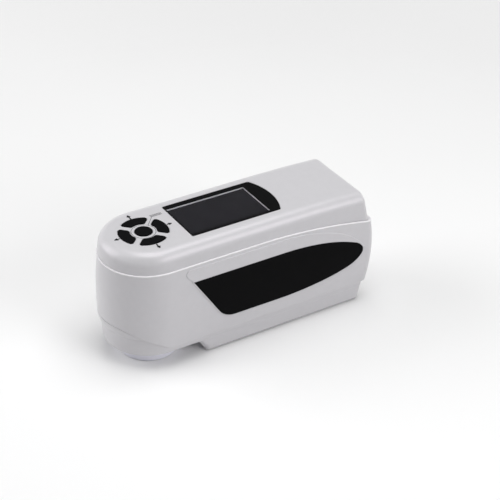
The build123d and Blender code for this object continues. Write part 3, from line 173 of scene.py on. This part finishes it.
def height_at(tree, x, y):
    """Height of a surface below a place, or zero beside it."""
    hit = tree.ray_cast(Vector((x, y, ABOVE_ALL)), Vector((0, 0, -1)))[0]
    return hit.z if hit else 0.0


shell_skin = surface_of("main_shell")
cover_low, cover_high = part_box("top_cover")
cover_half = cover_high.y
nose_middle = Vector((cover_low.x + cover_half, 0))


def rim_place(foot, outward, start):
    """The bead's middle, close to the place where the ledge of the shell turns down."""
    reach = start
    while True:
        here = foot + outward * reach
        beyond = here + outward * RIM_STEP
        if height_at(shell_skin, *here) - height_at(shell_skin, *beyond) > RIM_STEP:
            break
        reach += RIM_STEP
    place = foot + outward * (reach - RIM_INSET)
    return Vector((place.x, place.y, height_at(shell_skin, *place) - RIM_SINK))


def turned(angle):
    """A level direction at an angle from the rear end."""
    return Vector((cos(angle), sin(angle)))


def rim_path():
    """Places of the bead all round: the nose, the near side, the rear end and the far side."""
    start = cover_half + LEDGE_GAP
    corner_x = cover_high.x - CORNER_ROUND
    side_steps = [nose_middle.x + (corner_x - nose_middle.x) * i / SIDE_STEPS for i in range(1, SIDE_STEPS)]
    nose_angles = [90 + 180 * i / NOSE_STEPS for i in range(NOSE_STEPS + 1)]
    path = [rim_place(nose_middle, turned(radians(angle)), start) for angle in nose_angles]
    path += [rim_place(Vector((x, 0)), Vector((0, -1)), start) for x in side_steps]
    for side in (-1, 1):
        corner = Vector((corner_x, side * (cover_half - CORNER_ROUND)))
        first = -90 if side < 0 else 0
        angles = [first + 90 * i / CORNER_STEPS for i in range(CORNER_STEPS + 1)]
        path += [rim_place(corner, turned(radians(angle)), CORNER_ROUND + LEDGE_GAP) for angle in angles]
    path += [rim_place(Vector((x, 0)), Vector((0, 1)), start) for x in reversed(side_steps)]
    return path


def set_in(name, data):
    """An object in the scene for a mesh, a light or a camera."""
    item = bpy.data.objects.new(name, data)
    bpy.context.collection.objects.link(item)
    return item


def closed_bead(name, path, radius, material):
    """A round bead along a closed path."""
    points, faces = [], []
    count = len(path)
    for number, place in enumerate(path):
        along = (path[(number + 1) % count] - path[number - 1]).normalized()
        side = along.cross(Vector((0, 0, 1))).normalized()
        up = side.cross(along)
        for step in range(RIM_SIDES):
            angle = 2 * pi * step / RIM_SIDES
            points.append(place + radius * (cos(angle) * side + sin(angle) * up))
    total = count * RIM_SIDES
    for number in range(count):
        for step in range(RIM_SIDES):
            a = number * RIM_SIDES + step
            b = number * RIM_SIDES + (step + 1) % RIM_SIDES
            faces.append((a, b, (b + RIM_SIDES) % total, (a + RIM_SIDES) % total))
    mesh = bpy.data.meshes.new(name)
    mesh.from_pydata(points, [], faces)
    mesh.polygons.foreach_set("use_smooth", [True] * len(mesh.polygons))
    mesh.materials.append(material)
    return set_in(name, mesh)


# Painted highlight: the bead carries the shell's lacquer painted near white, so that the seam shows a bright
# line.
rim_painted_highlight = plain_finish("rim_painted_highlight", tone(248, 246, 249), 0.24, 0.01, 2600.0, 0.000001)
shell_rim = closed_bead("shell_rim", rim_path(), RIM_RADIUS, rim_painted_highlight)
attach(shell_rim, "case")


# ---------------------------------------------------------------- base cover
# The tray that closes the case from below, with the battery hump hanging under it.
# It is moulded and lacquered like the shell, and screwed to it from below.

dress(pearl_lacquer, "base_cover")


# ---------------------------------------------------------------- leaf panels
# Black leaf-shaped inserts let into the grip pads, one on each side.
# They are moulded in matte plastic with a fine spark-eroded grain.

eroded_black = plain_finish("eroded_black", tone(8, 8, 9), 0.6, 0.1, 5200.0, 0.000014, 0.0, 0.04)
dress(eroded_black, "near_side_panel", "far_side_panel")


# ---------------------------------------------------------------- measuring head
# The black cup under the nose that carries the round measuring port.
# Its flange lies on the tray and is held by small screws.

head_black = plain_finish("head_black", tone(22, 22, 24), 0.45, 0.1, 3000.0, 0.000006)
zinc_steel = plain_finish("zinc_steel", tone(196, 198, 202), 0.3, 0.06, 2400.0, 0.000004, 1.0)
dress(head_black, "measuring_head")
dress(zinc_steel, "head_screws")


# ---------------------------------------------------------------- integrating sphere
# Two moulded halves sprayed inside with a chalky white that scatters the lamps' light.
# Their flanges are clamped together by three screws on posts of the tray.

chalk_white = plain_finish("chalk_white", tone(238, 238, 235), 0.9, 0.02, 1800.0, 0.00002)
dress(chalk_white, "sphere_lower_half", "sphere_upper_half")
dress(zinc_steel, "sphere_screws")


# ---------------------------------------------------------------- light board, detector and lens
# A ring board of lamps on the sphere's collar, and an anodised aluminium tube through it.
# The tube holds the glass lens, and the sensor board is screwed to its flange.

CHIP_TONE = tone(24, 24, 26)


def reckon(nodes, links, operation, *terms):
    """The result of a sum on sockets or plain values."""
    step = nodes.new("ShaderNodeMath")
    step.operation = operation
    for socket, term in zip(step.inputs, terms):
        if isinstance(term, bpy.types.NodeSocket):
            links.new(term, socket)
        else:
            socket.default_value = term
    return step.outputs[0]


def along_axis(nodes, links, place, axis):
    """One coordinate of a place, X, Y or Z."""
    split = nodes.new("ShaderNodeSeparateXYZ")
    links.new(place, split.inputs[0])
    return split.outputs[axis]


def board_finish(name, underside):
    """Green board, with the chips that hang below its underside in black."""
    material, nodes, links, shader, place = new_finish(name)
    chips = reckon(nodes, links, "LESS_THAN", along_axis(nodes, links, place, "Z"), underside)
    tracks = nodes.new("ShaderNodeTexVoronoi")
    tracks.feature = "DISTANCE_TO_EDGE"
    tracks.inputs["Scale"].default_value = 420.0
    links.new(place, tracks.inputs["Vector"])
    mask = blend_tones(nodes, links, between(nodes, links, tracks.outputs["Distance"], 0, 1),
                       tone(20, 96, 52), tone(10, 72, 38))
    links.new(blend_tones(nodes, links, chips, mask, CHIP_TONE), shader.inputs["Base Color"])
    links.new(between(nodes, links, cloud(nodes, links, place, 900.0), 0.3, 0.42), shader.inputs["Roughness"])
    return material


small_board = board_finish("small_board", 0.0)
anodised = plain_finish("anodised", tone(40, 40, 43), 0.38, 0.08, 2600.0, 0.000004, 1.0)
dress(small_board, "led_board", "sensor_board")
dress(anodised, "detector_tube")
dress(zinc_steel, "sensor_screws")


def let_through(nodes, links, shader, share):
    """Make a finish transparent by a share."""
    mix = nodes.new("ShaderNodeMixShader")
    links.new(share, mix.inputs["Fac"])
    links.new(shader.outputs[0], mix.inputs[1])
    links.new(nodes.new("ShaderNodeBsdfTransparent").outputs[0], mix.inputs[2])
    links.new(mix.outputs[0], nodes["Material Output"].inputs["Surface"])


def clear_finish(name, colour, roughness, bending=1.49):
    """Clear plastic or glass that lets the lamps through to what lies behind it."""
    material, nodes, links, shader, place = new_finish(name)
    shader.inputs["Base Color"].default_value = colour
    shader.inputs["Transmission Weight"].default_value = 1.0
    shader.inputs["IOR"].default_value = bending
    smudge = cloud(nodes, links, place, 160.0)
    links.new(between(nodes, links, smudge, roughness * 0.6, roughness * 1.4), shader.inputs["Roughness"])
    let_through(nodes, links, shader, nodes.new("ShaderNodeLightPath").outputs["Is Shadow Ray"])
    return material


dress(clear_finish("lens_glass", (0.96, 0.98, 0.98, 1.0), 0.01), "detector_lens")


# ---------------------------------------------------------------- main board and display
# The glass-fibre board is screwed to posts below the top cover and carries the display block,
# which is dark while it is off. A flat orange cable runs down to the socket board.

BOARD_THICKNESS = 1.6 * MM
CHIP_GAP = 0.05 * MM
main_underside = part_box("main_board")[1].z - BOARD_THICKNESS - CHIP_GAP
display_dark = plain_finish("display_dark", tone(25, 24, 28), 0.4, 0.03, 900.0, 0.000001, 0.0, 0.1)
flex_orange = plain_finish("flex_orange", tone(168, 104, 40), 0.4, 0.05, 1200.0, 0.000003)
dress(board_finish("solder_mask", main_underside), "main_board")
dress(small_board, "test_switch_board", "io_board")
dress(display_dark, "display_module")
dress(flex_orange, "io_ribbon")
dress(zinc_steel, "board_screws", "test_board_screws", "io_screws")


# ---------------------------------------------------------------- top cover
# The upper half of the case, with the display opening and the key openings, moulded and
# lacquered like the shell. Steel screws hold it and the tray to the shell from inside and below.

dress(pearl_lacquer, "top_cover")
dress(zinc_steel, "top_cover_screws", "base_screws", "nose_screws")


# ---------------------------------------------------------------- display window
# A smoked clear acrylic lens let into the top cover.
# It is bonded to the ledge of the opening by a black adhesive frame.

adhesive_black = plain_finish("adhesive_black", tone(8, 8, 9), 0.5, 0.05, 1500.0, 0.000002, 0.0, 0.1)
dress(adhesive_black, "window_gasket")
dress(clear_finish("smoked_acrylic", (0.74, 0.74, 0.76, 1.0), 0.02, 1.25), "display_window")


# ---------------------------------------------------------------- keypad
# Black moulded keys, a round one in the middle and four round it, on the domes of a silicone
# rubber mat. A sixth in the far leaf panel rests on a push switch. Flanges hold them all in.

key_black = plain_finish("key_black", tone(8, 8, 10), 0.6, 0.08, 3600.0, 0.000006, 0.0, 0.05)
dress(key_black, "centre_key", "front_key", "rear_key", "near_key", "far_key", "test_key")
dress(plain_finish("mat_rubber", tone(150, 152, 156), 0.7, 0.04, 1600.0, 0.00001), "key_mat")


# ---------------------------------------------------------------- printed marks
# Fine black marks that are pad-printed on the top cover: a ring round the centre key, an
# arrow outside each key, and a list sign for the centre key at the end of a thin line.

PRINT_LIFT = 0.02 * MM
RING_INNER = 8.3 * MM
RING_OUTER = 8.6 * MM
RING_STEPS = 96
STROKE_PIECE = 0.4 * MM      # strokes are cut in pieces that follow the cover
ARROW_FOOT = 18.0 * MM       # from the middle of the keypad
ARROW_TIPS = (21.9 * MM, 23.8 * MM, 22.1 * MM, 23.4 * MM)
ARROW_WIDTH = 1.1 * MM
HEAD_LENGTH = 2.5 * MM
HEAD_WIDTH = 3.1 * MM
TIP_WIDTH = 0.6 * MM
LEADER_START = (6.3 * MM, 5.4 * MM)
LEADER_END = (13.7 * MM, 13.7 * MM)
LEADER_WIDTH = 0.3 * MM
LIST_LEFT = 13.0 * MM
LIST_RIGHT = 21.8 * MM
LIST_FOOT = 13.9 * MM
LIST_PITCH = 0.95 * MM
LIST_WIDTH = 0.42 * MM
LIST_ROWS = 3

print_dark = plain_finish("print_dark", tone(16, 16, 18), 0.5, 0.06, 1500.0, 0.000001, 0.0, 0.2)
cover_top = surface_of("top_cover")
key_low, key_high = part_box("centre_key")
keypad = ((key_low + key_high) / 2).xy


def print_mark(name, points, faces):
    """A printed film of given outlines, dropped from above on to the top cover."""
    placed = [(x, y, height_at(cover_top, x, y) + PRINT_LIFT) for x, y in points]
    mesh = bpy.data.meshes.new(name)
    mesh.from_pydata(placed, [], faces)
    mesh.materials.append(print_dark)
    film = set_in(name, mesh)
    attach(film, "case")


def by_keypad(x, y):
    """A place at a distance from the middle of the keypad."""
    return Vector((keypad.x + x, keypad.y + y))


def ring_film():
    """Points and faces of the flat ring round the centre key."""
    points = []
    for step in range(RING_STEPS):
        angle = 2 * pi * step / RING_STEPS
        points += [tuple(by_keypad(r * cos(angle), r * sin(angle))) for r in (RING_INNER, RING_OUTER)]
    count = len(points)
    return points, [(i, i + 1, (i + 3) % count, (i + 2) % count) for i in range(0, count, 2)]


def bar_film(start, end, width, end_width):
    """Points and faces of a straight stroke in short pieces, from one width to another."""
    along = end - start
    side = Vector((-along.y, along.x)).normalized() / 2
    pieces = max(1, int(along.length / STROKE_PIECE))
    points = []
    for piece in range(pieces + 1):
        share = piece / pieces
        middle = start + along * share
        half = side * (width + (end_width - width) * share)
        points += [tuple(middle - half), tuple(middle + half)]
    return points, [(i, i + 2, i + 3, i + 1) for i in range(0, 2 * pieces, 2)]


def joined(*films):
    """Several films as one list of points and faces."""
    points, faces = [], []
    for more_points, more_faces in films:
        faces += [tuple(i + len(points) for i in face) for face in more_faces]
        points += more_points
    return points, faces


def arrow_film(angle, tip):
    """A short stroke outside a key that ends in an arrowhead."""
    reaches = (ARROW_FOOT, tip - HEAD_LENGTH, tip)
    foot, neck, end = [by_keypad(reach * cos(angle), reach * sin(angle)) for reach in reaches]
    return joined(bar_film(foot, neck, ARROW_WIDTH, ARROW_WIDTH), bar_film(neck, end, HEAD_WIDTH, TIP_WIDTH))


def list_film():
    """A thin line from the centre key to a sign of short bars."""
    bars = [bar_film(by_keypad(*LEADER_START), by_keypad(*LEADER_END), LEADER_WIDTH, LEADER_WIDTH)]
    for row in range(LIST_ROWS):
        y = LIST_FOOT + LIST_PITCH * row
        bars.append(bar_film(by_keypad(LIST_LEFT, y), by_keypad(LIST_RIGHT, y), LIST_WIDTH, LIST_WIDTH))
    return joined(*bars)


print_mark("printed_ring", *ring_film())
for number, tip in enumerate(ARROW_TIPS):
    print_mark(f"printed_arrow_{number}", *arrow_film(number * pi / 2, tip))
print_mark("printed_list_sign", *list_film())


# ---------------------------------------------------------------- rear end
# A sunk bay holds the black moulded power switch and power socket, and a pressed steel data
# socket. All three are soldered to the upright socket board behind the bay.

dress(head_black, "power_switch_housing", "dc_jack")
dress(key_black, "power_rocker")
dress(zinc_steel, "usb_socket")


# ---------------------------------------------------------------- calibration cap
# A white moulded cup that is pushed on to the measuring head when the instrument is at rest.
# The glazed ceramic tile bonded in its floor is the white reference.

cap_white = plain_finish("cap_white", tone(239, 238, 249), 0.32, 0.012, 2000.0, 0.000003)
tile_glaze = plain_finish("tile_glaze", tone(242, 242, 240), 0.12, 0.01, 600.0, 0.000002)
dress(cap_white, "calibration_cap")
dress(tile_glaze, "white_tile")


# ---------------------------------------------------------------- battery
# Two steel cells in a shrunk plastic wrap, which lie on a foam strip in the hump.
# A lacquered door of the same plastic as the tray closes the bay with two screws.

CELL_LENGTH = 66 * MM
BARE_END = 2 * MM


def cell_finish(name):
    """Blue wrap with bare metal at both ends."""
    material, nodes, links, shader, place = new_finish(name)
    low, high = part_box("battery_cells")
    along = along_axis(nodes, links, place, "X")
    reach = reckon(nodes, links, "ABSOLUTE", reckon(nodes, links, "SUBTRACT", along, (low.x + high.x) / 2))
    end = reckon(nodes, links, "GREATER_THAN", reach, CELL_LENGTH / 2 - BARE_END)
    wrap = blend_tones(nodes, links, end, tone(34, 84, 160), tone(200, 200, 204))
    links.new(wrap, shader.inputs["Base Color"])
    links.new(between(nodes, links, cloud(nodes, links, place, 700.0), 0.3, 0.4), shader.inputs["Roughness"])
    links.new(end, shader.inputs["Metallic"])
    return material


dress(cell_finish("cell_wrap"), "battery_cells")
dress(plain_finish("foam_black", tone(38, 38, 40), 0.95, 0.15, 900.0, 0.0002), "battery_foam")
dress(pearl_lacquer, "battery_door")
dress(zinc_steel, "door_screws")


# ---------------------------------------------------------------- rest pads
# Four moulded rubber pads on which the instrument stands.
# They are bonded into shallow pockets under the hump.

dress(plain_finish("pad_rubber", tone(30, 30, 31), 0.8, 0.1, 2400.0, 0.00003), "rest_pads")


# ---------------------------------------------------------------- floor, light and camera
# A pale floor that runs into a white backdrop, three soft lights above it in a dim room,
# and the view over the near side and the nose.

FLOOR_RADIUS = 1.3
FLOOR_DROP = 0.2 * MM
FLOOR_TONES = ((0.95, 0.95, 0.95, 1), (0.97, 0.97, 0.97, 1))
FLOOR_TO_LAMPS = (0.7, 0.7, 0.7, 1)      # the floor's tone where the eye doesn't meet it
ROOM_LEVEL = 0.14
BACKDROP_HEIGHT = (0.25, 0.4)            # the white band ends between these headings


def looked_at(nodes, links):
    """One where the eye meets a surface, straight, in a gloss or through glass, and zero elsewhere."""
    rays = nodes.new("ShaderNodeLightPath")
    seen = rays.outputs["Is Camera Ray"]
    for other in ("Is Glossy Ray", "Is Transmission Ray"):
        seen = reckon(nodes, links, "MAXIMUM", seen, rays.outputs[other])
    return seen


def floor_finish():
    """A pale floor that fades into the backdrop towards its edge."""
    material, nodes, links, shader, place = new_finish("floor_white")
    pale = blend_tones(nodes, links, between(nodes, links, cloud(nodes, links, place, 3.0), 0, 1), *FLOOR_TONES)
    floor_tone = blend_tones(nodes, links, looked_at(nodes, links), FLOOR_TO_LAMPS, pale)
    links.new(floor_tone, shader.inputs["Base Color"])
    shader.inputs["Roughness"].default_value = 0.9
    distance = nodes.new("ShaderNodeVectorMath")
    distance.operation = "LENGTH"
    links.new(place, distance.inputs[0])
    fade = ramp(nodes, links, distance.outputs["Value"], FLOOR_RADIUS * 0.35, FLOOR_RADIUS * 0.9)
    let_through(nodes, links, shader, fade)
    return material


def floor_disc():
    """A flat disc on the rest plane."""
    builder = bmesh.new()
    bmesh.ops.create_circle(builder, cap_ends=True, segments=96, radius=FLOOR_RADIUS)
    mesh = bpy.data.meshes.new("floor")
    builder.to_mesh(mesh)
    builder.free()
    mesh.materials.append(floor_finish())
    disc = set_in("floor", mesh)
    disc.location.z = -FLOOR_DROP
    return disc


floor_disc()


def soft_box(name, place, size, watts, target=(0.0, 0.0, 0.05)):
    """A square area light aimed at the object."""
    light = bpy.data.lights.new(name, "AREA")
    light.shape = "SQUARE"
    light.size = size
    light.energy = watts
    lamp = set_in(name, light)
    lamp.location = place
    lamp.rotation_euler = (Vector(target) - Vector(place)).to_track_quat("-Z", "Y").to_euler()


soft_box("top_light", (0.15, -0.1, 1.6), 1.2, 16.8)
soft_box("right_light", (0.65, -1.45, 0.75), 1.0, 11.7)
soft_box("left_light", (-1.3, 0.9, 0.8), 1.3, 15.5)

world = bpy.data.worlds.new("studio")
bpy.context.scene.world = world
world.use_nodes = True
room_nodes = world.node_tree.nodes
room_links = world.node_tree.links
heading = along_axis(room_nodes, room_links, room_nodes.new("ShaderNodeTexCoord").outputs["Generated"], "Z")
room_level = room_nodes.new("ShaderNodeMix")
room_links.new(looked_at(room_nodes, room_links), room_level.inputs["Factor"])
room_level.inputs[2].default_value = ROOM_LEVEL
room_links.new(ramp(room_nodes, room_links, heading, *BACKDROP_HEIGHT, 1.0, ROOM_LEVEL), room_level.inputs[3])
room_light = room_nodes["Background"]
room_light.inputs["Color"].default_value = (1.0, 1.0, 1.0, 1.0)
room_links.new(room_level.outputs[0], room_light.inputs["Strength"])

camera_data = bpy.data.cameras.new("camera")
camera_data.sensor_width = 36.0
camera_data.lens = 101.33
camera_data.clip_start = 0.05
camera_data.clip_end = 30.0
camera = set_in("camera", camera_data)
side_axis = Vector((0.84928, -0.52754, 0.02088))
up_axis = Vector((0.27342, 0.47331, 0.83739))
back_axis = side_axis.cross(up_axis)
turn = Matrix((side_axis, up_axis, back_axis)).transposed()
camera.matrix_world = Matrix.Translation((-0.44036, -0.71413, 0.60456)) @ turn.to_4x4()
bpy.context.scene.camera = camera
bpy.context.scene.view_settings.view_transform = "Standard"
